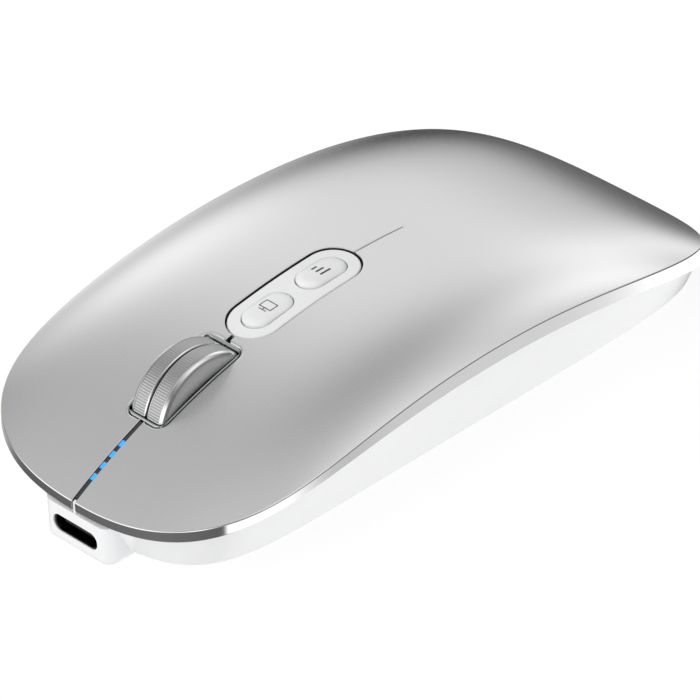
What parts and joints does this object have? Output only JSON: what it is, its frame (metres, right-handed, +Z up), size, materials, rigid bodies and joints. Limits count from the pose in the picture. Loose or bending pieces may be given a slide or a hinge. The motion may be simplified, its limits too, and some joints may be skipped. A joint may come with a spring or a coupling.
{
  "type": "computer mouse",
  "caption": "Slim rechargeable wireless mouse with a silver top cover, split click plates, metal scroll wheel, top buttons and a charging socket.",
  "frame": {"origin": "on the desk, below the middle of the outline", "axes": "+Z up, -Y towards the front with the charging socket, +X to the user's left (towards the left click plate)"},
  "size_m": [0.057, 0.112, 0.0239],
  "materials": {
    "satin_silver": "satin anodised top cover with a polished band",
    "gloss_white": "glossy moulded white plastic",
    "wheel_metal": "turned and knurled metal",
    "black_plastic": "matte black plastic",
    "white_inner": "matte white plastic",
    "steel": "plain steel",
    "board_green": "solder-masked circuit board",
    "lamp_blue": "clear blue lamp window",
    "clear_lens": "clear moulded lens",
    "battery_foil": "foil pouch",
    "foot_slide": "low-friction glide pad",
    "switch_red": "coloured plunger"
  },
  "bodies": {
    "case": {"bottom_case": "gloss_white", "palm_cover": "satin_silver", "button_bezel": "gloss_white", "center_frame": "white_inner", "button_board": "board_green", "desktop_switch_body": "black_plastic", "speed_switch_body": "black_plastic", "left_switch_body": "black_plastic", "right_switch_body": "black_plastic", "middle_switch_body": "black_plastic", "main_board": "board_green", "usb_shell": "steel", "usb_tongue": "black_plastic", "light_bar": "black_plastic", "light_bar_lamps": "lamp_blue", "scroll_sensor": "black_plastic", "sensor_chip": "black_plastic", "sensor_lens": "clear_lens", "controller_chip": "black_plastic", "crystal": "steel", "power_switch_body": "black_plastic", "battery_pack": "battery_foil", "battery_socket": "white_inner", "case_screws": "steel", "front_foot": "foot_slide", "rear_foot": "foot_slide", "front_wheel_guard": "wheel_metal", "rear_wheel_guard": "wheel_metal"},
    "left_click": {"left_click_plate": "satin_silver", "left_switch_plunger": "switch_red"},
    "right_click": {"right_click_plate": "satin_silver", "right_switch_plunger": "switch_red"},
    "wheel_carrier": {"wheel_yoke": "white_inner", "wheel_axle": "steel", "middle_switch_plunger": "switch_red"},
    "scroll_wheel": {"wheel_rim_left": "wheel_metal", "wheel_rim_right": "wheel_metal", "wheel_hub": "black_plastic", "encoder_disc": "black_plastic"},
    "desktop_key": {"desktop_button": "gloss_white", "desktop_switch_plunger": "switch_red"},
    "speed_key": {"speed_button": "gloss_white", "speed_switch_plunger": "switch_red"},
    "power_slider": {"power_switch_knob": "black_plastic"}
  },
  "joints": [
    {"name": "left_click_hinge", "type": "hinge", "parent": "case", "child": "left_click", "pos_m": [0, 0.009, 0.015], "axis": [1, 0, 0], "range_deg": [0, 0.4], "stiffness_Nm_per_rad": 2, "springref_deg": -0.34},
    {"name": "right_click_hinge", "type": "hinge", "parent": "case", "child": "right_click", "pos_m": [0, 0.009, 0.015], "axis": [1, 0, 0], "range_deg": [0, 0.4], "stiffness_Nm_per_rad": 2, "springref_deg": -0.34},
    {"name": "wheel_press", "type": "slide", "parent": "case", "child": "wheel_carrier", "axis": [0, 0, -1], "range_m": [0, 0.0004], "stiffness_N_per_m": 1500, "springref_m": -0.0003},
    {"name": "wheel_spin", "type": "hinge", "parent": "wheel_carrier", "child": "scroll_wheel", "pos_m": [0, -0.0327, 0.0133], "axis": [1, 0, 0], "continuous": true},
    {"name": "desktop_button_press", "type": "slide", "parent": "case", "child": "desktop_key", "axis": [0, 0, -1], "range_m": [0, 0.0003], "stiffness_N_per_m": 4000, "springref_m": -0.00015},
    {"name": "speed_button_press", "type": "slide", "parent": "case", "child": "speed_key", "axis": [0, 0, -1], "range_m": [0, 0.0003], "stiffness_N_per_m": 4000, "springref_m": -0.00015},
    {"name": "power_slide", "type": "slide", "parent": "case", "child": "power_slider", "axis": [1, 0, 0], "range_m": [0, 0.002]}
  ]
}
